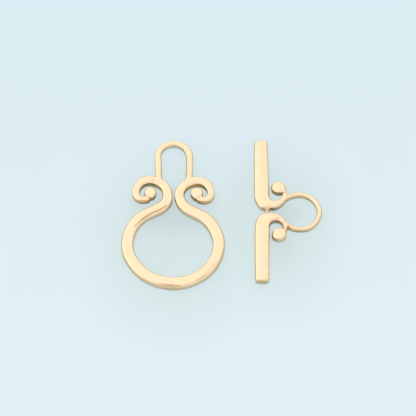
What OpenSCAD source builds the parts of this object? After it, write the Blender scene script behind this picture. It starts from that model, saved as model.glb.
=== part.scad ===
// Toggle clasp in two loose halves that lie flat side by side.
// One half is a round loop whose ends curl into scrolls under a bail.
// The other is a long bar whose two arms turn into hooks that hold a small eye ring.

/* [Stock] */
// Thickness of the flat metal that the loop and the bar are cut from
plate_t = 0.95; // [0.7:0.05:2]

/* [Loop] */
// Outside diameter of the round loop
loop_od = 15; // [13:0.5:22]
// Width of the band at the loop's sides and bottom
band_w = 1.78; // [1.2:0.02:2.2]
// Width of the band where it leaves the round
shoulder_w = 1.65; // [1:0.05:2]
// Straight run of the band between the round and the neck
shoulder_run = 1.6; // [1:0.05:3]
// Bend radius at the neck, along the middle of the band
neck_bend_r = 2.5; // [1.8:0.05:3.2]
// Clear gap between the two scrolls at the neck
neck_gap = 0.3; // [0.3:0.02:1]

/* [Scrolls] */
// Bend radius of a scroll where it leaves the neck, along the middle of the band
scroll_r = 2.6; // [2.2:0.02:3.6]
// Width of the band at the neck
scroll_w = 1.48; // [1:0.02:1.7]
// Diameter of the round button at a scroll's tip
scroll_button_d = 1.8; // [1.3:0.05:2.1]
// Length of a scroll's tip that shows before its button
scroll_tip_l = 0.27; // [0.1:0.01:0.5]

/* [Bail] */
// Width of the bail's wire, seen from above
bail_w = 1; // [0.6:0.05:1.3]
// Height of the bail's wire above the surface that it lies on
bail_t = 0.85; // [0.6:0.05:1.5]
// Clear width inside the bail's arch
bail_clear = 3.72; // [3.4:0.02:4.6]
// Height of the bail's top above the scrolls
bail_rise = 6.6; // [4:0.1:9]
// Lean of each leg towards the other, in degrees
bail_lean = 1.2; // [0:0.2:3]

/* [Bar] */
// Length of the bar over both arms
bar_l = 25; // [20:0.1:34]
// Width of an arm at its hook
arm_w = 2.3; // [1.8:0.02:2.8]
// Width of an arm at its tip
arm_tip_w = 2.1; // [1.4:0.02:2.4]
// Radius of the corners at an arm's tip
arm_tip_r = 0.25; // [0.1:0.05:0.5]
// Clear gap between the two hooks, which the solder bridges
hook_gap = 0.68; // [0.5:0.02:1.4]
// Length of the solder bridge along the gap
solder_l = 0.66; // [0.4:0.02:0.9]
// Distance from the bar's straight back to the middle of the solder bridge
solder_x = 1.92; // [1.4:0.02:2.4]
// Height of the solder bridge
solder_t = 0.8; // [0.4:0.05:1]

/* [Hooks] */
// Bend radius of a hook, along its middle
hook_r = 1.66; // [1.4:0.02:2.2]
// Width of a hook's stem
stem_w = 0.7; // [0.45:0.05:0.8]
// Straight length of a hook's stem
stem_l = 0.13; // [0.1:0.01:1]
// Diameter of the round button at a hook's tip
hook_button_d = 2; // [1.4:0.05:2.2]

/* [Eye ring] */
// Outside diameter of the eye ring
ring_od = 6.8; // [6:0.1:9]
// Width of the ring's wire, seen from above
ring_w = 0.7; // [0.45:0.05:0.8]
// Height of the ring's wire above the surface that it lies on
ring_t = 0.67; // [0.45:0.05:1.2]

/* [Layout] */
// Clear distance between the loop and the bar where they lie
lay_gap = 4.35; // [2:0.05:12]
// Distance from the loop's centre up to the middle of the bar
lay_rise = 6; // [0:0.05:10]

/* [Hidden] */

gold = "#f0d9a8";
solder_gold = "#c9a878";

// Turn in degrees between two stations along a bend
bend_step = 6;
// Facets of a full circle
round_fn = 72;

// How a scroll winds in, as [turn past the neck, share of scroll_r, share of scroll_w]
scroll_rows = [
    [0, 1.26, 1.00],
    [45, 0.99, 0.97],
    [100, 0.85, 0.94],
    [180, 0.76, 0.76],
    [270, 0.25, 0.60],
    [334, 0.20, 0.56]
];

// How a hook thins round its bend, as [turn, share of the way from arm_w to stem_w]
hook_rows = [
    [0, 0.00],
    [45, 0.05],
    [90, 0.50],
    [135, 0.91],
    [180, 1.00]
];

// Turn of the stem past its straight run, and its radius as a share of hook_r
stem_turn = 50;
stem_share = 0.68;

// How far a hook's button reaches past its stem, as a share of the button's radius
hook_button_share = 0.65;

// The last turn of the round over which the band narrows, in degrees
shoulder_turn = 45;

// Stations are [x, y, heading, width], and a positive turn bends to the left
function turned(s, r, turn) =
    let (side = sign(turn), h = s[2], next = s[2] + turn)
    [s.x + side * r * (sin(next) - sin(h)), s.y - side * r * (cos(next) - cos(h)), next, s[3]];
function ahead(s, run) = [s.x + run * cos(s[2]), s.y + run * sin(s[2]), s[2], s[3]];
function widened(s, w) = [s.x, s.y, s[2], w];
function edge(stations, side) =
    [for (s = stations) [s.x - side * s[3] / 2 * sin(s[2]), s.y + side * s[3] / 2 * cos(s[2])]];
function backwards(list) = [for (i = [len(list) - 1 : -1 : 0]) list[i]];
function column(rows, c) = [for (row = rows) [row[0], row[c]]];
function last(list) = list[len(list) - 1];

// The loop is centred on [0, 0], and these are the stations of its right side
loop_r = loop_od / 2;
shoulder_r = loop_r - shoulder_w / 2;
neck_x = (neck_gap + scroll_w) / 2;
bend_x = neck_x + neck_bend_r;
neck_y = sqrt(pow(shoulder_r + neck_bend_r, 2) + pow(shoulder_run, 2) - pow(bend_x, 2));
leave_angle = atan2(neck_y, bend_x) - atan2(shoulder_run, shoulder_r + neck_bend_r);

function round_w(angle) = lookup(angle, [[leave_angle - shoulder_turn, band_w], [leave_angle, shoulder_w]]);
function round_station(angle) =
    let (w = round_w(angle), r = loop_r - w / 2)
    [r * cos(angle), r * sin(angle), angle + 90, w];

round_count = ceil((leave_angle + 90) / bend_step);
round_stations = [for (i = [0 : round_count]) round_station(-90 + (leave_angle + 90) * i / round_count)];

neck_turn = leave_angle;
neck_count = ceil(neck_turn / bend_step);
neck_start = ahead(last(round_stations), shoulder_run);
neck_stations = [
    for (i = [0 : neck_count])
        widened(turned(neck_start, neck_bend_r, -neck_turn * i / neck_count),
                shoulder_w + (scroll_w - shoulder_w) * i / neck_count)
];

scroll_turn = last(scroll_rows)[0];
scroll_count = ceil(scroll_turn / bend_step);
scroll_step = scroll_turn / scroll_count;
function scroll_bend_r(turn) = scroll_r * lookup(turn, column(scroll_rows, 1));
scroll_stations = [
    for (i = 1, s = turned(last(neck_stations), scroll_bend_r(scroll_step / 2), -scroll_step);
         i <= scroll_count;
         i = i + 1, s = turned(s, scroll_bend_r(scroll_step * (i - 0.5)), -scroll_step))
        widened(s, scroll_w * lookup(scroll_step * i, column(scroll_rows, 2)))
];

scroll_button = ahead(last(scroll_stations), scroll_tip_l + scroll_button_d / 2);
side_stations = concat(round_stations, neck_stations, scroll_stations, [scroll_button]);
scroll_top = max([for (s = scroll_stations) s.y + s[3] / 2]);

// The bail's arch is centred above the loop, and its legs end inside the scrolls
bail_r = (bail_clear + bail_w) / 2;
bail_y = scroll_top + bail_rise - bail_r - bail_w / 2;
bail_leg = bail_y - lookup(bail_r, [for (s = scroll_stations) if (s[2] >= 0) [s.x, s.y]]);

// The bar's straight back is on x = 0, and these are the stations of its upper arm
hook_w_mid = arm_w + (stem_w - arm_w) * lookup(90, hook_rows);
hook_y = hook_gap / 2 + hook_w_mid / 2 + hook_r;
hook_start = [arm_w / 2, hook_y, -90, arm_w];
hook_turn = 180;
hook_count = hook_turn / bend_step;
hook_stations = [
    for (i = [0 : hook_count])
        widened(turned(hook_start, hook_r, bend_step * i),
                arm_w + (stem_w - arm_w) * lookup(bend_step * i, hook_rows))
];
stem_start = ahead(last(hook_stations), stem_l);
stem_count = ceil(stem_turn / bend_step);
stem_stations = [
    for (i = [0 : stem_count]) turned(stem_start, stem_share * hook_r, stem_turn * i / stem_count)
];
hook_button = ahead(last(stem_stations), hook_button_share * hook_button_d / 2);

// The eye ring starts on the middle of each hook, near the end of its bend
ring_r = (ring_od - ring_w) / 2;
ring_joint_turn = 162;
ring_joint = turned(hook_start, hook_r, ring_joint_turn);
ring_x = ring_joint.x + sqrt(pow(ring_r, 2) - pow(ring_joint.y, 2));
ring_half_turn = 180 - asin(ring_joint.y / ring_r);

// The whole lies centred on the origin, as wide as from the loop's side to the ring's
bar_x = loop_r + lay_gap;
low_y = min(-loop_r, lay_rise - bar_l / 2);
high_y = max(bail_y + bail_r + bail_w / 2, lay_rise + bar_l / 2);
centre_x = (bar_x + ring_x + ring_od / 2 - loop_r) / 2;
centre_y = (low_y + high_y) / 2;

module loop_band() {
    outer = edge(side_stations, -1);
    inner = edge(side_stations, 1);
    left_outer = [for (i = [1 : len(outer) - 1]) [-outer[i].x, outer[i].y]];
    left_inner = [for (i = [1 : len(inner) - 1]) [-inner[i].x, inner[i].y]];
    color(gold)
        linear_extrude(plate_t)
            polygon(concat(outer, backwards(inner), left_inner, backwards(left_outer)));
}

module scroll_buttons() {
    color(gold)
        for (side = [-1, 1])
            translate([side * scroll_button.x, scroll_button.y, 0])
                cylinder(d = scroll_button_d, h = plate_t, $fn = round_fn);
}

module bail() {
    color(gold)
        translate([0, bail_y, 0]) {
            rotate([0, 0, -bail_lean])
                rotate_extrude(angle = 180 + 2 * bail_lean, $fn = round_fn)
                    translate([bail_r - bail_w / 2, 0]) square([bail_w, bail_t]);
            for (side = [0, 1])
                mirror([side, 0, 0])
                    rotate([0, 0, -bail_lean])
                        translate([bail_r - bail_w / 2, -bail_leg, 0]) cube([bail_w, bail_leg, bail_t]);
        }
}

module bar_arm() {
    tip_y = bar_l / 2;
    color(gold)
        linear_extrude(plate_t)
            union() {
                polygon([
                    [0, hook_y], [arm_w, hook_y],
                    [arm_tip_w, tip_y - arm_tip_r], [0, tip_y - arm_tip_r]
                ]);
                translate([arm_tip_r, tip_y - 2 * arm_tip_r])
                    square([arm_tip_w - 2 * arm_tip_r, 2 * arm_tip_r]);
                for (x = [arm_tip_r, arm_tip_w - arm_tip_r])
                    translate([x, tip_y - arm_tip_r]) circle(arm_tip_r, $fn = round_fn);
            }
}

module hook() {
    stations = concat(hook_stations, stem_stations);
    color(gold)
        linear_extrude(plate_t) polygon(concat(edge(stations, 1), backwards(edge(stations, -1))));
}

module hook_button() {
    color(gold)
        translate([hook_button.x, hook_button.y, 0])
            cylinder(d = hook_button_d, h = plate_t, $fn = round_fn);
}

module bar_solder() {
    reach = hook_gap / 2 + hook_w_mid / 2;
    color(solder_gold)
        translate([solder_x - solder_l / 2, -reach, 0])
            cube([solder_l, 2 * reach, solder_t]);
}

module eye_ring() {
    color(gold)
        translate([ring_x, 0, 0])
            rotate([0, 0, -ring_half_turn])
                rotate_extrude(angle = 2 * ring_half_turn, $fn = round_fn)
                    translate([ring_r - ring_w / 2, 0]) square([ring_w, ring_t]);
}

module loop_half() {
    translate([-centre_x, -centre_y, 0]) {
        loop_band();
        scroll_buttons();
        bail();
    }
}

module toggle_half() {
    translate([bar_x - centre_x, lay_rise - centre_y, 0]) {
        for (side = [0, 1])
            mirror([0, side, 0]) {
                bar_arm();
                hook();
                hook_button();
            }
        bar_solder();
        eye_ring();
    }
}

loop_half();
toggle_half();
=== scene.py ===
import math

import bmesh
import bpy
import numpy as np
from mathutils import Matrix, Vector
from mathutils.bvhtree import BVHTree


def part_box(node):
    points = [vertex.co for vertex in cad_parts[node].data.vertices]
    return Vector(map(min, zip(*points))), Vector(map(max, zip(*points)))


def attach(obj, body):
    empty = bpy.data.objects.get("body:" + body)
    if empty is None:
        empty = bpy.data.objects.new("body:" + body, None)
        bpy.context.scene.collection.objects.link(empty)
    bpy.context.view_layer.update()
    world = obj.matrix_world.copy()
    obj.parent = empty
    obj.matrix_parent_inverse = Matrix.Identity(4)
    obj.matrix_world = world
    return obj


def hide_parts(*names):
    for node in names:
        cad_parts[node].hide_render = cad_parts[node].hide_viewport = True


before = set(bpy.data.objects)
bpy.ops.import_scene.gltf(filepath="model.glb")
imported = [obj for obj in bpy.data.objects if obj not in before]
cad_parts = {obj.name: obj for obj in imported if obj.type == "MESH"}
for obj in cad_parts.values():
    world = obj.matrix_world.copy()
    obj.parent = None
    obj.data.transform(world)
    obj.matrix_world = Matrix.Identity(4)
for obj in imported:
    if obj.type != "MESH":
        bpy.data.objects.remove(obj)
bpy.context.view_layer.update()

# Pieces are modelled in millimetres round each half's own origin, and moved into the frame at the end
mm = 0.001
loopLow, loopHigh = (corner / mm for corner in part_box("loop_half"))
toggleLow, toggleHigh = (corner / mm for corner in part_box("toggle_half"))
plateT = loopHigh.z
scene = bpy.context.scene


# Shared shapes

def turned(station, radius, turn):
    # A station is (x, y, heading, width), and a positive turn bends to the left
    x, y, heading, width = station
    side = math.copysign(1, turn)
    first, last = math.radians(heading), math.radians(heading + turn)
    return (x + side * radius * (math.sin(last) - math.sin(first)),
            y - side * radius * (math.cos(last) - math.cos(first)), heading + turn, width)


def ahead(station, run):
    x, y, heading, width = station
    angle = math.radians(heading)
    return (x + run * math.cos(angle), y + run * math.sin(angle), heading, width)


def widened(station, width):
    return station[:3] + (width,)


def lookup(rows, key, column=1):
    for low, high in zip(rows, rows[1:]):
        if key <= high[0]:
            share = (key - low[0]) / (high[0] - low[0])
            return low[column] + (high[column] - low[column]) * max(share, 0)
    return rows[-1][column]


def sectionPoint(u, upper, width, height, skin):
    # A point of the cross-section: u runs from -1 to 1 across the upper face or the underside
    radius = skin["footR"]
    if upper:
        radius = skin["outerR" if u > 0 else "edgeR"] * min(1, width / skin["fullW"])
    turn = max(0, 2 * abs(u) - 1) * math.pi / 2
    out = (width / 2 - radius) * min(1, 2 * abs(u)) + radius * math.sin(turn)
    rise = radius * (1 - math.cos(turn))
    if upper:
        rise = height - rise - skin["crown"] * (2 * out / width) ** skin["crownPower"]
    return math.copysign(out, u), rise


def sweepBand(bm, stations, heights, skin):
    # Extrudes a crowned section with rounded edges through the stations
    spot = bm.verts.layers.float_vector.get("spot") or bm.verts.layers.float_vector.new("spot")
    made = bmesh.ops.create_grid(bm, x_segments=16, y_segments=1, size=1)["verts"]
    for vert in made:
        vert[spot] = (vert.co.x, vert.co.y, 0)
    face = bmesh.ops.dissolve_faces(bm, faces=list({f for v in made for f in v.link_faces}))["region"][0]
    faces, first = [], face
    for i, ((x, y, heading, width), height) in enumerate(zip(stations, heights)):
        if i:
            grown = bmesh.ops.extrude_face_region(bm, geom=[face])["geom"]
            face = next(g for g in grown if isinstance(g, bmesh.types.BMFace))
            faces += [f for edge in face.edges for f in edge.link_faces if f != face]
        along = math.radians(heading - 90)
        for vert in face.verts:
            out, rise = sectionPoint(vert[spot].x, vert[spot].y > 0, width, height, skin)
            vert.co = (x + out * math.cos(along), y + out * math.sin(along), rise)
    bmesh.ops.recalc_face_normals(bm, faces=faces + [first, face])


def spinButton(bm, place, values, skin):
    # Spins half of a domed disc's outline about the button's own axis, and adds the disc to the half
    radius, edgeR, footR = values["diameter"] / 2, values["edgeR"], skin["footR"]
    flat = radius - edgeR
    shares = [i / 4 for i in range(5)]
    corners = [(flat * share, plateT - values["dome"] * share ** 2) for share in shares]
    turns = [math.radians(turn) for turn in range(15, 91, 15)]
    corners += [(flat + edgeR * math.sin(turn), plateT - values["dome"] - edgeR * (1 - math.cos(turn)))
                for turn in turns]
    corners += [(radius, footR), (radius - footR, 0), (0, 0)]
    disc = bmesh.new()
    verts = [disc.verts.new((r, 0, z)) for r, z in corners]
    edges = [disc.edges.new(pair) for pair in zip(verts, verts[1:])]
    bmesh.ops.spin(disc, geom=verts + edges, cent=(0, 0, 0), axis=(0, 0, 1), angle=2 * math.pi,
                   steps=64, use_merge=True)
    bmesh.ops.remove_doubles(disc, verts=disc.verts, dist=0.001)
    bmesh.ops.recalc_face_normals(disc, faces=disc.faces)
    bmesh.ops.scale(disc, vec=(1, values["stretch"], 1), verts=disc.verts)
    bmesh.ops.translate(disc, vec=(place[0], place[1], 0), verts=disc.verts)
    mesh = bpy.data.meshes.new("disc")
    disc.to_mesh(mesh)
    disc.free()
    bm.from_mesh(mesh)
    bpy.data.meshes.remove(mesh)


def mirrored(bm, axis):
    bmesh.ops.mirror(bm, geom=bm.verts[:] + bm.edges[:] + bm.faces[:], axis=axis, merge_dist=0.0001)


# Loop half: the band, its scrolls and buttons, and the bail

loop = {
    "outsideD": 15, "bandW": 1.8, "shoulderW": 1.72, "shoulderRun": 1.6, "shoulderTurn": 45,
    "neckBendR": 2.5, "neckGap": 0.3, "scrollR": 2.6, "scrollW": 1.48, "tipRun": 0.27, "step": 3,
    "skin": {"crown": 0.02, "crownPower": 2, "edgeR": 0.26, "outerR": 0.31, "footR": 0.07,
             "fullW": 1.78},
}
# How a scroll winds in: turn past the neck, share of scrollR, share of scrollW
scrollRows = [(0, 1.26, 1.00), (45, 0.99, 0.97), (100, 0.85, 0.94), (180, 0.76, 0.76),
              (270, 0.25, 0.60), (334, 0.20, 0.56)]
scrollButton = {"diameter": 1.76, "dome": 0.015, "stretch": 1.08, "edgeR": 0.22}
bail = {
    "wireW": 1.0, "wireT": 0.85, "clear": 3.72, "rise": 6.66, "lean": 1.2,
    "rampStart": 0.4, "rampRun": 0.9, "legSteps": 12, "archSteps": 30,
    "skin": {"crown": 0, "crownPower": 2, "edgeR": 0.24, "outerR": 0.22, "footR": 0.26, "fullW": 1},
}


def bandStations():
    outer = loop["outsideD"] / 2
    shoulderR = outer - loop["shoulderW"] / 2
    neckX = (loop["neckGap"] + loop["scrollW"]) / 2
    bendX, reach = neckX + loop["neckBendR"], shoulderR + loop["neckBendR"]
    neckY = math.sqrt(reach ** 2 + loop["shoulderRun"] ** 2 - bendX ** 2)
    leave = math.degrees(math.atan2(neckY, bendX) - math.atan2(loop["shoulderRun"], reach))
    widths = [(leave - loop["shoulderTurn"], loop["bandW"]), (leave, loop["shoulderW"])]
    stations = []
    count = math.ceil((leave + 90) / loop["step"])
    for i in range(count + 1):
        angle = -90 + (leave + 90) * i / count
        width = lookup(widths, angle)
        radius = outer - width / 2
        stations.append((radius * math.cos(math.radians(angle)), radius * math.sin(math.radians(angle)),
                         angle + 90, width))
    start = ahead(stations[-1], loop["shoulderRun"])
    count = math.ceil(leave / loop["step"])
    for i in range(count + 1):
        stations.append(widened(turned(start, loop["neckBendR"], -leave * i / count) if i else start,
                                loop["shoulderW"] + (loop["scrollW"] - loop["shoulderW"]) * i / count))
    count = math.ceil(scrollRows[-1][0] / loop["step"])
    step = scrollRows[-1][0] / count
    for i in range(1, count + 1):
        radius = loop["scrollR"] * lookup(scrollRows, step * (i - 0.5))
        stations.append(widened(turned(stations[-1], radius, -step),
                                loop["scrollW"] * lookup(scrollRows, step * i, 2)))
    return stations


def buildLoopHalf(bm):
    stations = bandStations()
    button = ahead(stations[-1], loop["tipRun"] + scrollButton["diameter"] / 2)
    tip = ahead(stations[-1], loop["tipRun"] + scrollButton["diameter"] / 4)
    sweepBand(bm, stations + [tip], [plateT] * (len(stations) + 1), loop["skin"])
    spinButton(bm, button, scrollButton, loop["skin"])
    # The bail starts inside the scroll, at its full height, and thins to its wire
    radius = (bail["clear"] + bail["wireW"]) / 2
    top = max(s[1] + s[3] / 2 for s in stations) + bail["rise"]
    archY = top - radius - bail["wireW"] / 2
    foot = next(s[1] for s in stations if s[0] > radius and s[1] > loop["outsideD"] / 2)
    lean = math.radians(bail["lean"])
    spring = (radius * math.cos(lean), archY - radius * math.sin(lean), 90 - bail["lean"], bail["wireW"])
    sweep, count = 90 + bail["lean"], bail["archSteps"]
    arch = [spring] + [turned(spring, radius, sweep * i / count) for i in range(1, count + 1)]
    legRun, count = archY - foot, bail["legSteps"]
    leg, heights = [], []
    for i in range(count):
        leg.append(ahead(spring, -legRun * (1 - i / count)))
        ramp = min(1, max(0, (legRun * i / count - bail["rampStart"]) / bail["rampRun"]))
        heights.append(plateT + (bail["wireT"] - plateT) * ramp)
    sweepBand(bm, leg + arch, heights + [bail["wireT"]] * len(arch), bail["skin"])
    mirrored(bm, "X")


# Toggle half: the arms with their hooks and buttons, the solder bridge and the eye ring

arm = {
    "length": 25, "width": 2.2, "outset": 0.02, "tipW": 2.04, "tipR": 0.25, "tipDrop": 0.45,
    "tipStep": 15, "gap": 0.68, "step": 3,
    "skin": {"crown": 0.045, "crownPower": 1.4, "edgeR": 0.22, "outerR": 0.28, "footR": 0.07,
             "fullW": 2.1},
}
hook = {"bendR": 1.66, "stemW": 0.7, "stemRun": 0.13, "stemTurn": 50, "stemShare": 0.68,
        "tipRun": 0.3, "buttonShare": 0.65}
# How a hook thins round its bend: turn, share of the way from the arm's width to the stem's
hookRows = [(0, 0.00), (45, 0.05), (90, 0.50), (135, 0.91), (180, 1.00)]
hookButton = {"diameter": 2.04, "dome": 0.02, "stretch": 1.0, "edgeR": 0.22}
bridge = {"length": 0.66, "x": 1.86, "height": 0.8, "waist": 0.85}
eyeRing = {
    "outsideD": 6.8, "wireW": 0.73, "wireT": 0.71, "drop": 0.02, "jointTurn": 162,
    "rampStart": 6, "rampTurn": 26, "steps": 44,
    "skin": {"crown": 0, "crownPower": 2, "edgeR": 0.24, "outerR": 0.24, "footR": 0.12, "fullW": 0.7},
}


def hookWidth(turn):
    return arm["width"] + (hook["stemW"] - arm["width"]) * lookup(hookRows, turn)


def hookStart():
    return (arm["width"] / 2 - arm["outset"], arm["gap"] / 2 + hookWidth(90) / 2 + hook["bendR"], -90,
            arm["width"])


def buildToggleHalf(bm):
    start = hookStart()
    tip = (arm["tipW"] / 2 - arm["outset"], arm["length"] / 2, -90, arm["tipW"])
    stations, heights = [], []
    for turn in range(0, 91, arm["tipStep"]):
        drawnIn, back = (arm["tipR"] * (1 - part(math.radians(turn))) for part in (math.sin, math.cos))
        stations.append(widened(ahead(tip, back), arm["tipW"] - 2 * drawnIn))
        heights.append(plateT - arm["tipDrop"] * drawnIn)
    count = math.ceil(180 / arm["step"])
    for i in range(count + 1):
        turn = 180 * i / count
        stations.append(widened(turned(start, hook["bendR"], turn) if turn else start, hookWidth(turn)))
    stem = ahead(stations[-1], hook["stemRun"])
    count = math.ceil(hook["stemTurn"] / arm["step"])
    for i in range(count + 1):
        turn = hook["stemTurn"] * i / count
        stations.append(turned(stem, hook["bendR"] * hook["stemShare"], turn) if turn else stem)
    button = ahead(stations[-1], hook["buttonShare"] * hookButton["diameter"] / 2)
    stations.append(ahead(stations[-1], hook["tipRun"]))
    sweepBand(bm, stations, heights + [plateT] * (len(stations) - len(heights)), arm["skin"])
    spinButton(bm, button, hookButton, arm["skin"])
    # The eye ring leaves the hook's middle just under the hook's height and thins to its wire
    ringR = (eyeRing["outsideD"] - eyeRing["wireW"]) / 2
    joint = turned(start, hook["bendR"], eyeRing["jointTurn"])
    ringX = toggleHigh.x - toggleLow.x - eyeRing["outsideD"] / 2
    halfTurn = 180 - math.degrees(math.asin(joint[1] / ringR))
    count = eyeRing["steps"]
    ring, heights = [], []
    for i in range(count + 1):
        angle = halfTurn * (1 - i / count)
        ring.append((ringX + ringR * math.cos(math.radians(angle)), ringR * math.sin(math.radians(angle)),
                     angle - 90, eyeRing["wireW"]))
        ramp = min(1, max(0, (halfTurn - angle - eyeRing["rampStart"]) / eyeRing["rampTurn"]))
        heights.append(plateT - eyeRing["drop"] + (eyeRing["wireT"] - plateT + eyeRing["drop"]) * ramp)
    sweepBand(bm, ring, heights, eyeRing["skin"])
    # The solder bridge, drawn in at its waist
    reach = arm["gap"] / 2 + hookWidth(90) / 2
    made = bmesh.ops.create_cube(bm, size=1)["verts"]
    bmesh.ops.scale(bm, vec=(bridge["length"], reach, bridge["height"]), verts=made)
    bmesh.ops.scale(bm, vec=(bridge["waist"], 1, 1), verts=[v for v in made if v.co.y < 0])
    bmesh.ops.translate(bm, vec=(bridge["x"], reach / 2, bridge["height"] / 2), verts=made)
    mirrored(bm, "Y")


# Fusing: the soldered pieces of a half become one skin, with its fillets, seams and small unevennesses

fuse = {"voxel": 0.068, "polish": 2, "filletPasses": 12, "filletDraw": 0.6}
# Painted shade on walls that face other gold: how far a wall looks for the gold that it faces, and the
# least painted shade and the painted orange reflection that it gets
recessShade = {"reach": 6.5, "lean": 35, "start": 0.08, "least": 0.16, "orangeReflectionShare": 0.8}
# Bounds on a normal's upright part, between which the painted shade on walls and the painted dark
# reflection on upper edges fade in or out
facing = {"side": 0.85, "wall": (0.25, 0.6), "edgeIn": (0.1, 0.4), "edgeOut": (0.8, 0.97), "away": 0.75}
# Where solder ran, in each half: x, y, reach
loopFillets = [(-2.75, 12.0, 0.5), (-1.85, 11.6, 0.5), (2.75, 12.0, 0.5), (1.85, 11.6, 0.5)]
toggleFillets = [(2.2, 3.1, 0.5), (1.43, 0.45, 0.45), (2.23, 0.45, 0.45), (1.43, -0.45, 0.45),
                 (2.23, -0.45, 0.45), (4.95, 3.0, 0.5), (4.45, 1.75, 0.5), (4.45, -1.75, 0.5)]
# Open seams: first x, y, last x, y, width, depth
loopSeams = [(-3.8, 8.3, -3.5, 8.12, 0.12, 0.16), (3.5, 8.4, 3.85, 8.5, 0.1, 0.12),
             (-3.25, 11.2, -2.95, 11.3, 0.1, 0.06)]
toggleSeams = [(3.9, 3.08, 4.35, 3.15, 0.12, 0.2), (4.05, -3.05, 4.4, -3.4, 0.12, 0.2),
               (3.38, -1.36, 3.42, -1.62, 0.12, 0.1), (4.88, -2.72, 5.0, -3.1, 0.1, 0.4)]
# Bending by hand: x, y, reach, shift along x, shift along y
loopNudges = [(-6.2, 0.2, 4.4, -0.14, 0), (6.0, -0.6, 3.2, 0.08, 0), (-5.8, 4.2, 4.2, -0.2, 0.18),
              (5.9, 5.6, 2.6, 0.03, 0.06), (2.8, 5.8, 3.0, -0.04, -0.19), (7.2, -2.0, 4.0, -0.1, 0),
              (-6.4, -4.0, 3.6, 0.06, 0.04), (0, -7.6, 4.0, 0, -0.09), (-0.6, -5.5, 3.2, 0.02, 0.09),
              (3.2, 10.5, 1.4, 0, -0.06), (-4.2, 11.6, 2.4, -0.06, 0.19), (-5.6, 9.4, 3.0, -0.05, 0),
              (6.1, 10.3, 3.0, -0.17, -0.07), (1.2, 9.4, 2.2, -0.13, 0.02), (-0.9, 8.8, 1.6, -0.05, 0),
              (-1.6, 10.8, 1.5, 0.03, 0.05), (-1.5, 10.1, 1.0, 0.07, 0.05), (0, 17.0, 5.0, -0.1, 0),
              (1.7, 16.9, 2.2, -0.06, -0.04), (0, 16.1, 1.2, 0, -0.06), (1.9, 12.3, 2.2, -0.07, 0),
              (-4.6, 7.4, 1.5, 0, 0.21), (-2.6, 6.9, 1.4, 0, 0.08), (4.6, 7.4, 1.5, 0, 0.12),
              (-3.4, 9.3, 1.3, -0.18, 0.05), (3.4, 9.3, 1.3, 0.04, -0.06), (3.3, 8.1, 0.9, -0.05, -0.2),
              (-3.2, 8.2, 0.8, 0, -0.1)]
toggleNudges = [(8.0, 3.2, 2.6, 0, 0.09), (8.4, -3.2, 3.2, 0.04, -0.14), (9.9, 0, 2.2, 0.07, 0),
                (5.2, 1.9, 1.2, 0.04, -0.08), (5.4, -2.1, 1.2, 0.03, 0.06), (3.8, 3.6, 2.1, 0.13, 0),
                (3.9, -3.8, 2.1, 0.07, 0.03), (3.7, 4.3, 1.3, 0, -0.05), (3.3, 2.8, 0.9, 0.05, 0),
                (3.3, -2.9, 0.9, 0.06, 0), (2.3, 0.6, 1.2, 0, 0.12), (2.9, -1.1, 1.7, 0, -0.08),
                (1.0, 0.6, 1.2, -0.04, -0.17), (1.0, -0.6, 1.2, -0.02, 0.06), (0, -2.4, 1.8, 0.07, 0),
                (3.6, 1.2, 1.2, -0.03, 0.06), (3.6, -1.1, 1.2, -0.03, -0.06), (2.2, 7.2, 5.0, 0.05, 0),
                (-0.2, 6.5, 5.0, -0.02, 0), (2.3, -8.5, 5.0, -0.02, 0), (1.2, 12.6, 2.5, 0.02, 0.2),
                (-0.1, 11.8, 1.6, 0.06, 0), (0, -12.6, 0.8, 0.1, 0.1), (2.2, -12.5, 0.9, -0.1, 0.1),
                (1.1, -12.7, 1.2, 0, 0.06)]
# Buttons filed larger or smaller: x, y, reach, growth
loopSwells = [(-3.4, 9.3, 1.4, -0.06), (3.4, 9.3, 1.4, 0.16)]
toggleSwells = [(3.7, 4.3, 1.5, 0.1), (3.7, -4.3, 1.5, 0.13)]
# Bronze-toned solder: x, y, reach, strength
loopTints = [(-3.62, 8.2, 0.28, 0.7), (3.7, 8.45, 0.22, 0.45), (-3.1, 11.2, 0.4, 0.3)]
toggleTints = [(1.85, 0.05, 0.75, 0.75), (4.12, 3.12, 0.35, 0.6), (4.22, -3.22, 0.35, 0.7),
               (3.4, -1.5, 0.4, 0.5), (4.93, -2.95, 0.16, 1.0)]
# Painted dark reflection lines just inside an edge: first x, y, last x, y, width, strength, which above 1
# broadens the core
loopReflectionLines = [(-1.9, -6.93, -1.15, -7.12, 0.14, 0.9), (-1.15, -7.12, 0, -7.24, 0.18, 1.6),
               (0, -7.24, 0.8, -7.24, 0.15, 0.9), (3.4, -6.38, 4.66, -5.3, 0.14, 0.6),
               (4.66, -5.3, 6.26, -3.07, 0.13, 0.4), (-5.66, 3.1, -4.79, 4.28, 0.15, 1.0),
               (-4.75, 4.26, -3.4, 5.36, 0.18, 1.8), (-3.4, 5.36, -2.04, 6.05, 0.18, 1.8),
               (-2.04, 6.05, -1.1, 6.8, 0.16, 1.4), (-1.3, 17.2, 1.3, 17.2, 0.25, 0.4),
               (1.82, 15.6, 1.9, 12.2, 0.2, 0.6), (-1.92, 13.6, -1.95, 12.3, 0.16, 0.4)]
toggleReflectionLines = [(3.3, -1.45, 2.6, -1.5, 0.12, 0.2), (2.62, 4.5, 2.54, 3.9, 0.18, 1.2),
                 (2.54, 3.9, 2.7, 3.1, 0.18, 1.2), (2.66, -3.9, 2.59, -4.5, 0.16, 1.2),
                 (2.59, -4.5, 2.7, -5.1, 0.16, 1.2), (3.95, 2.95, 3.95, 2.35, 0.16, 1.4),
                 (4.12, -2.1, 4.18, -3.0, 0.15, 1.0), (0.2, -12.45, 1.8, -12.45, 0.14, 0.4)]
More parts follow.
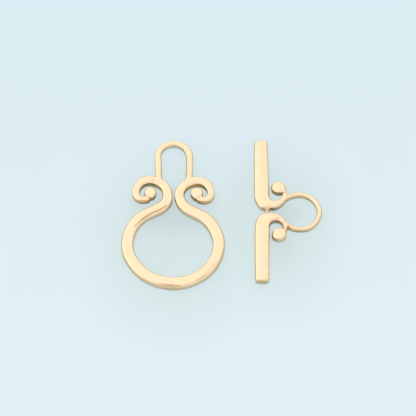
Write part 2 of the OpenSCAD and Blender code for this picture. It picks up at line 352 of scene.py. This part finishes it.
# Painted orange reflection where walls face other gold: x, y, reach, strength
loopOrangeReflections = [(2.6, 10.7, 2.0, 1.0), (-1.7, 10.2, 1.8, 0.9), (-4.6, 7.8, 1.4, 1.0), (4.6, 7.8, 1.4, 1.0),
             (0.8, 7.0, 1.3, 1.0), (-0.5, -7.5, 3.5, 0.5)]
toggleOrangeReflections = [(6.2, 2.3, 2.0, 0.8), (8.2, 2.2, 2.4, 0.8), (6.4, -3.2, 3.4, 0.9)]


def nearness(points, x, y, reach):
    # 1 at a place and 0 at its reach, with a soft fall between them
    gap = np.hypot(points[:, 0] - x, points[:, 1] - y) / reach
    return np.where(gap < 1, (1 - gap * gap) ** 2, 0)


def alongLine(points, firstX, firstY, lastX, lastY, width):
    # The same fall, measured from a line between two places
    run = np.array((lastX - firstX, lastY - firstY))
    share = np.clip(((points[:, :2] - (firstX, firstY)) @ run) / (run @ run), 0, 1)
    return nearness(points[:, :2] - share[:, None] * run, firstX, firstY, width)


def softened(bm, verts):
    bmesh.ops.smooth_vert(bm, verts=verts, factor=0.5, use_axis_x=True, use_axis_y=True, use_axis_z=True)


def smoothSkin(mesh, fillets):
    # Rounds the corners where solder ran, in narrowing passes, and then takes the grid's steps off it all
    bm = bmesh.new()
    bm.from_mesh(mesh)
    bm.verts.ensure_lookup_table()
    points = np.array([v.co[:] for v in bm.verts])
    for x, y, reach in fillets:
        gaps = np.hypot(points[:, 0] - x, points[:, 1] - y) / reach
        for i in range(fuse["filletPasses"]):
            inside = np.flatnonzero(gaps < 1 - fuse["filletDraw"] * i / fuse["filletPasses"])
            softened(bm, [bm.verts[k] for k in inside])
    for _ in range(fuse["polish"]):
        softened(bm, bm.verts)
    bm.to_mesh(mesh)
    bm.free()


def paintedShadeAndReflection(mesh, points, glow):
    # Painted shade and reflection: how much of a narrow space each wall faces, which sets its painted
    # shade, and how much each point lies on an upper edge facing away, which sets its painted dark
    # reflection
    normals = np.empty(len(mesh.vertices) * 3)
    mesh.vertices.foreach_get("normal", normals)
    normals = normals.reshape(-1, 3)
    bm = bmesh.new()
    bm.from_mesh(mesh)
    tree = BVHTree.FromBMesh(bm)
    bm.free()
    upright = normals[:, 2]
    shade = np.zeros(len(points))
    for k in np.flatnonzero(np.abs(upright) < facing["side"]):
        flat = Vector((normals[k, 0], normals[k, 1], 0)).normalized()
        start = Vector(points[k]) + flat * recessShade["start"]
        start.z = min(start.z, plateT / 2)
        for lean in (-1, 0, 1):
            ray = flat.copy()
            ray.rotate(Matrix.Rotation(math.radians(recessShade["lean"] * lean), 3, "Z"))
            hit = tree.ray_cast(start, ray, recessShade["reach"])
            if hit[0]:
                shade[k] += (1 - hit[3] / recessShade["reach"]) / 3
    shade = np.maximum(np.maximum(shade, recessShade["least"]), recessShade["orangeReflectionShare"] * glow)
    # Painted shade keeps to steep walls, and the painted dark reflection to upper edges that face away
    # towards +y
    low, high = facing["wall"]
    steep = np.clip((high - np.abs(upright)) / (high - low), 0, 1)
    rising, falling = (np.clip((upright - low) / (high - low), 0, 1)
                       for low, high in (facing["edgeIn"], facing["edgeOut"]))
    level = np.maximum(np.hypot(normals[:, 0], normals[:, 1]), 0.01)
    away = np.clip(facing["away"] + normals[:, 1] / level, 0, 1)
    edge = rising * (1 - falling) * away * (points[:, 2] > plateT / 3)
    return shade * steep, edge


def fuseHalf(name, build, origin, fillets, seams, nudges, swells, tints, reflectionLines, orangeReflections):
    bm = bmesh.new()
    build(bm)
    rough = bpy.data.meshes.new(name + "Rough")
    bm.to_mesh(rough)
    bm.free()
    roughObject = bpy.data.objects.new(name + "Rough", rough)
    scene.collection.objects.link(roughObject)
    remesh = roughObject.modifiers.new("fuse", "REMESH")
    remesh.mode = "VOXEL"
    remesh.voxel_size = fuse["voxel"]
    shaped = roughObject.evaluated_get(bpy.context.evaluated_depsgraph_get())
    mesh = bpy.data.meshes.new_from_object(shaped)
    mesh.name = name
    bpy.data.objects.remove(roughObject)
    bpy.data.meshes.remove(rough)
    smoothSkin(mesh, fillets)
    points = np.empty(len(mesh.vertices) * 3)
    mesh.vertices.foreach_get("co", points)
    points = points.reshape(-1, 3)
    for *line, depth in seams:
        points[:, 2] *= 1 - depth / plateT * alongLine(points, *line)
    for x, y, reach, growth in swells:
        points[:, :2] += (growth * nearness(points, x, y, reach))[:, None] * (points[:, :2] - (x, y))
    for x, y, reach, alongX, alongY in nudges:
        points[:, :2] += nearness(points, x, y, reach)[:, None] * (alongX, alongY)
    # Solder tint and painted orange reflection, each by place
    solder, glow = (np.max([strength * nearness(points, x, y, reach)
                            for x, y, reach, strength in spots], axis=0) for spots in (tints, orangeReflections))
    # The painted dark reflection lines join the solder tint in one mask
    darkReflection = np.max([strength * alongLine(points, *line) for *line, strength in reflectionLines], axis=0)
    solder = np.maximum(solder, np.minimum(darkReflection, 1))
    mesh.vertices.foreach_set("co", points.ravel())
    mesh.update()
    shade, edge = paintedShadeAndReflection(mesh, points, glow)
    mesh.vertices.foreach_set("co", ((points + origin) * mm).ravel())
    # Masks: solder tint with painted dark reflection lines, painted orange reflection, painted shade and
    # painted edge reflection
    for label, amount in (("solder", solder), ("glow", glow), ("shade", shade), ("edge", edge)):
        mesh.attributes.new(label, "FLOAT", "POINT").data.foreach_set("value", amount)
    mesh.polygons.foreach_set("use_smooth", [True] * len(mesh.polygons))
    mesh.update()
    print(name, "faces", len(mesh.polygons))
    piece = bpy.data.objects.new(name, mesh)
    scene.collection.objects.link(piece)
    return piece


loopPiece = fuseHalf("loopHalf", buildLoopHalf,
                     (loopLow.x + loop["outsideD"] / 2, loopLow.y + loop["outsideD"] / 2, 0),
                     loopFillets, loopSeams, loopNudges, loopSwells, loopTints, loopReflectionLines, loopOrangeReflections)
togglePiece = fuseHalf("toggleHalf", buildToggleHalf,
                       (toggleLow.x, (toggleLow.y + toggleHigh.y) / 2, 0),
                       toggleFillets, toggleSeams, toggleNudges, toggleSwells, toggleTints, toggleReflectionLines,
                       toggleOrangeReflections)
print("halves fused")


# Gold

gold = {
    # The bronze colour serves both the solder and the painted dark reflection lines
    "colour": (0.95, 0.715, 0.475), "deep": (0.945, 0.695, 0.45), "bronzeAndDarkReflection": (0.50, 0.33, 0.19),
    # These three colours are a painted dark reflection on upper edges, a painted shade in narrow spaces
    # and a painted orange reflection from nearby gold
    "edge": (0.60, 0.43, 0.25), "recessShade": (0.22, 0.17, 0.085), "glow": (0.90, 0.46, 0.09),
    # The foot colour is a painted reflection of the floor with painted contact shade, low on the walls
    "foot": (0.76, 0.71, 0.60), "footReflectionLow": 0.00018, "footReflectionHigh": 0.0006,
    "rim": (0.86, 0.70, 0.50), "edgeReflectionShare": 0.7, "roughness": 0.14, "cloudy": 0.07, "solderRough": 0.2,
    "mottleScale": 900, "mottleTones": (0.35, 0.7), "mottleClouds": (0.3, 0.75), "grainScale": 5200,
    "waveStrength": 0.5, "waveDepth": 0.000006, "grainStrength": 0.25, "grainDepth": 0.000004,
}


def addNode(tree, kind, **settings):
    node = tree.nodes.new(kind)
    for name, value in settings.items():
        setattr(node, name, value)
    return node


def noise(tree, source, scale, detail):
    node = addNode(tree, "ShaderNodeTexNoise")
    node.inputs["Scale"].default_value = scale
    node.inputs["Detail"].default_value = detail
    tree.links.new(source, node.inputs["Vector"])
    return node.outputs["Fac"]


def mapped(tree, source, fromLow, fromHigh, toLow, toHigh):
    node = addNode(tree, "ShaderNodeMapRange", interpolation_type="SMOOTHSTEP")
    bounds = {"From Min": fromLow, "From Max": fromHigh, "To Min": toLow, "To Max": toHigh}
    for socket, value in bounds.items():
        node.inputs[socket].default_value = value
    tree.links.new(source, node.inputs["Value"])
    return node.outputs["Result"]


def blended(tree, share, first, second):
    node = addNode(tree, "ShaderNodeMix", data_type="RGBA")
    tree.links.new(share, node.inputs["Factor"])
    for socket, value in ((node.inputs[6], first), (node.inputs[7], second)):
        if isinstance(value, tuple):
            socket.default_value = (*value, 1)
        else:
            tree.links.new(value, socket)
    return node.outputs[2]


def reckoned(tree, operation, first, second):
    node = addNode(tree, "ShaderNodeMath", operation=operation)
    for socket, value in zip(node.inputs, (first, second)):
        if isinstance(value, (int, float)):
            socket.default_value = value
        else:
            tree.links.new(value, socket)
    return node.outputs[0]


def goldMaterial():
    material = bpy.data.materials.new("polishedGold")
    material.use_nodes = True
    tree = material.node_tree
    shader = tree.nodes["Principled BSDF"]
    shader.inputs["Metallic"].default_value = 1
    shader.inputs["Specular Tint"].default_value = (*gold["rim"], 1)
    place = addNode(tree, "ShaderNodeTexCoord").outputs["Object"]
    solder, glow, shade, edge = (addNode(tree, "ShaderNodeAttribute", attribute_name=name).outputs["Fac"]
                                 for name in ("solder", "glow", "shade", "edge"))
    split = addNode(tree, "ShaderNodeSeparateXYZ")
    tree.links.new(place, split.inputs[0])
    # Mask for the lowest part of each wall, which takes the painted floor reflection and contact shade
    low = mapped(tree, split.outputs["Z"], gold["footReflectionLow"], gold["footReflectionHigh"], 1, 0)
    mottle = noise(tree, place, gold["mottleScale"], 3)
    grain = noise(tree, place, gold["grainScale"], 2)
    tone = blended(tree, mapped(tree, mottle, *gold["mottleTones"], 0, 1), gold["colour"], gold["deep"])
    # Upper edges that face away take a painted dark reflection
    tone = blended(tree, reckoned(tree, "MULTIPLY", edge, gold["edgeReflectionShare"]), tone, gold["edge"])
    tone = blended(tree, low, tone, gold["foot"])
    # Walls in narrow spaces take a painted shade, which turns to a painted orange reflection where they
    # face other gold, away from the lowest part of the wall
    warm = reckoned(tree, "MULTIPLY", glow, reckoned(tree, "SUBTRACT", 1, low))
    tone = blended(tree, shade, tone, blended(tree, warm, gold["recessShade"], gold["glow"]))
    # Solder spots and the painted dark reflection lines take the bronze colour
    tree.links.new(blended(tree, solder, tone, gold["bronzeAndDarkReflection"]), shader.inputs["Base Color"])
    cloud = mapped(tree, mottle, *gold["mottleClouds"], gold["roughness"] - gold["cloudy"] / 2,
                   gold["roughness"] + gold["cloudy"])
    rough = reckoned(tree, "ADD", cloud, reckoned(tree, "MULTIPLY", solder, gold["solderRough"]))
    tree.links.new(rough, shader.inputs["Roughness"])
    wavy = addNode(tree, "ShaderNodeBump")
    wavy.inputs["Strength"].default_value = gold["waveStrength"]
    wavy.inputs["Distance"].default_value = gold["waveDepth"]
    tree.links.new(mottle, wavy.inputs["Height"])
    fine = addNode(tree, "ShaderNodeBump")
    fine.inputs["Strength"].default_value = gold["grainStrength"]
    fine.inputs["Distance"].default_value = gold["grainDepth"]
    tree.links.new(grain, fine.inputs["Height"])
    tree.links.new(wavy.outputs["Normal"], fine.inputs["Normal"])
    tree.links.new(fine.outputs["Normal"], shader.inputs["Normal"])
    return material


goldSkin = goldMaterial()
for piece, node in ((loopPiece, "loop_half"), (togglePiece, "toggle_half")):
    piece.data.materials.append(goldSkin)
    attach(piece, "root")
    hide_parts(node)
print("gold on")


# Studio: a pale bowl of a floor, a soft sky and the camera

studio = {
    # floorNear and floorFar paint a fall of light across the floor, lighter near and darker far
    "floorNear": (0.80, 0.905, 0.955), "floorFar": (0.735, 0.86, 0.92), "nearY": -0.037, "farY": 0.034,
    "matt": 0.18, "backlight": 0.81, "glow": 0.003, "flatR": 0.5, "wallR": 0.12, "wallH": 0.03,
    "shade": (0.905, 0.925, 0.88), "closeShade": (0.9, 0.91, 0.91), "poolCore": 0.4, "poolRim": 1.5,
    "sky": 1.2, "lean": 0.35, "horizon": 0.8, "horizonTop": 0.6,
    "gapPlace": (0.15, 0.13, 0.98), "gapInner": 12, "gapOuter": 23, "gapDepth": 0.2,
    "frontPlace": (-0.35, -0.85, 0.40), "frontInner": 15, "frontOuter": 58, "frontDepth": 0.55,
    "dimPlace": (-0.80, -0.25, 0.55), "dimInner": 10, "dimOuter": 24, "dimDrop": 0.2,
    "elevation": 55, "lens": 250.96, "distance": 421.95, "aim": (-2.086, -1.385, 3.929),
}
# The wide soft shade round each half: centre x, y and reach along x, y in millimetres, and depth
shadePools = [(-6.4, -4.6, 12.0, 15.5, 1), (6.9, -2.1, 10.0, 14.0, 1)]
# The closer shade inside the neck, under the lower hook and in the ring
closePools = [(-7.1, 0.6, 5.2, 4.3, 1), (8.0, -5.6, 3.0, 2.8, 0.5), (9.3, 0.2, 2.4, 2.0, 0.8)]


def shadeMask(tree, place, pools):
    deepest = None
    for x, y, reachX, reachY, depth in pools:
        offset = addNode(tree, "ShaderNodeVectorMath", operation="SUBTRACT")
        tree.links.new(place, offset.inputs[0])
        offset.inputs[1].default_value = (x * mm, y * mm, 0)
        share = addNode(tree, "ShaderNodeVectorMath", operation="DIVIDE")
        tree.links.new(offset.outputs[0], share.inputs[0])
        share.inputs[1].default_value = (reachX * mm, reachY * mm, 1)
        length = addNode(tree, "ShaderNodeVectorMath", operation="LENGTH")
        tree.links.new(share.outputs[0], length.inputs[0])
        pool = mapped(tree, length.outputs["Value"], studio["poolCore"], studio["poolRim"], depth, 0)
        deepest = reckoned(tree, "MAXIMUM", deepest, pool) if deepest else pool
    return deepest


def floorMaterial():
    material = bpy.data.materials.new("paleFloor")
    material.use_nodes = True
    tree = material.node_tree
    shader = tree.nodes["Principled BSDF"]
    place = addNode(tree, "ShaderNodeTexCoord").outputs["Object"]
    split = addNode(tree, "ShaderNodeSeparateXYZ")
    tree.links.new(place, split.inputs[0])
    # The floor's tone is painted lighter towards the near side and darker towards the far side, a painted
    # fall of light
    tone = blended(tree, mapped(tree, split.outputs["Y"], studio["nearY"], studio["farY"], 0, 1),
                   studio["floorNear"], studio["floorFar"])
    wide, near = (shadeMask(tree, place, pools) for pools in (shadePools, closePools))
    shade = addNode(tree, "ShaderNodeVectorMath", operation="MULTIPLY")
    tree.links.new(blended(tree, wide, (1, 1, 1), studio["shade"]), shade.inputs[0])
    tree.links.new(blended(tree, near, (1, 1, 1), studio["closeShade"]), shade.inputs[1])
    lit = addNode(tree, "ShaderNodeVectorMath", operation="MULTIPLY")
    tree.links.new(tone, lit.inputs[0])
    tree.links.new(shade.outputs[0], lit.inputs[1])
    matt = addNode(tree, "ShaderNodeVectorMath", operation="SCALE")
    tree.links.new(lit.outputs[0], matt.inputs[0])
    matt.inputs["Scale"].default_value = studio["matt"]
    tree.links.new(matt.outputs[0], shader.inputs["Base Color"])
    tree.links.new(lit.outputs[0], shader.inputs["Emission Color"])
    shader.inputs["Emission Strength"].default_value = studio["backlight"]
    shader.inputs["Roughness"].default_value = 0.9
    shader.inputs["Specular IOR Level"].default_value = 0.1
    shader.inputs["Subsurface Weight"].default_value = 1
    shader.inputs["Subsurface Radius"].default_value = (1, 1, 1)
    shader.inputs["Subsurface Scale"].default_value = studio["glow"]
    return material


def buildFloor():
    bm = bmesh.new()
    centre = bmesh.ops.create_vert(bm, co=(0, 0, 0))["vert"][0]
    rim = bmesh.ops.extrude_vert_indiv(bm, verts=[centre])["verts"][0]
    rim.co.x = studio["flatR"]
    made = bmesh.ops.spin(bm, geom=[rim], cent=(studio["flatR"], 0, studio["wallR"]), axis=(0, -1, 0),
                          angle=math.pi / 2, steps=16)
    last = next(g for g in made["geom_last"] if isinstance(g, bmesh.types.BMVert))
    top = bmesh.ops.extrude_vert_indiv(bm, verts=[last])["verts"][0]
    top.co.z += studio["wallH"]
    bmesh.ops.spin(bm, geom=bm.verts[:] + bm.edges[:], cent=(0, 0, 0), axis=(0, 0, 1),
                   angle=2 * math.pi, steps=96, use_merge=True)
    bmesh.ops.remove_doubles(bm, verts=bm.verts, dist=1e-5)
    bmesh.ops.recalc_face_normals(bm, faces=bm.faces)
    mesh = bpy.data.meshes.new("floor")
    bm.to_mesh(mesh)
    bm.free()
    mesh.polygons.foreach_set("use_smooth", [True] * len(mesh.polygons))
    floor = bpy.data.objects.new("floor", mesh)
    scene.collection.objects.link(floor)
    mesh.materials.append(floorMaterial())


def skyPatch(tree, direction, name):
    # 1 round a place in the sky, and 0 outside it
    dot = addNode(tree, "ShaderNodeVectorMath", operation="DOT_PRODUCT")
    tree.links.new(direction, dot.inputs[0])
    dot.inputs[1].default_value = Vector(studio[name + "Place"]).normalized()
    outer, inner = (math.cos(math.radians(studio[name + rim])) for rim in ("Outer", "Inner"))
    return mapped(tree, dot.outputs["Value"], outer, inner, 0, 1)


def lightStudio():
    # A soft sky, brighter on the left, with darker patches overhead, in front and low on the left
    world = bpy.data.worlds.new("softSky")
    scene.world = world
    world.use_nodes = True
    tree = world.node_tree
    background = tree.nodes["Background"]
    direction = addNode(tree, "ShaderNodeTexCoord").outputs["Generated"]
    split = addNode(tree, "ShaderNodeSeparateXYZ")
    tree.links.new(direction, split.inputs[0])
    level = reckoned(tree, "SUBTRACT", studio["sky"],
                     reckoned(tree, "MULTIPLY", split.outputs["X"], studio["lean"]))
    rise = mapped(tree, split.outputs["Z"], 0, studio["horizonTop"], studio["horizon"], 1)
    level = reckoned(tree, "MULTIPLY", level, rise)
    for name in ("gap", "front"):
        taken = reckoned(tree, "MULTIPLY", skyPatch(tree, direction, name), studio[name + "Depth"])
        level = reckoned(tree, "MULTIPLY", level, reckoned(tree, "SUBTRACT", 1, taken))
    taken = reckoned(tree, "MULTIPLY", skyPatch(tree, direction, "dim"), studio["dimDrop"])
    level = reckoned(tree, "SUBTRACT", level, taken)
    tree.links.new(level, background.inputs["Strength"])
    background.inputs["Color"].default_value = (1, 1, 1, 1)
    scene.view_settings.view_transform = "Standard"


def placeCamera():
    data = bpy.data.cameras.new("camera")
    data.lens = studio["lens"]
    data.sensor_width = 36
    camera = bpy.data.objects.new("camera", data)
    scene.collection.objects.link(camera)
    tilt = math.radians(studio["elevation"])
    back = Vector((0, -math.cos(tilt), math.sin(tilt)))
    camera.location = (Vector(studio["aim"]) + back * studio["distance"]) * mm
    camera.rotation_euler = (math.pi / 2 - tilt, 0, 0)
    scene.camera = camera


buildFloor()
lightStudio()
placeCamera()
print("studio ready")
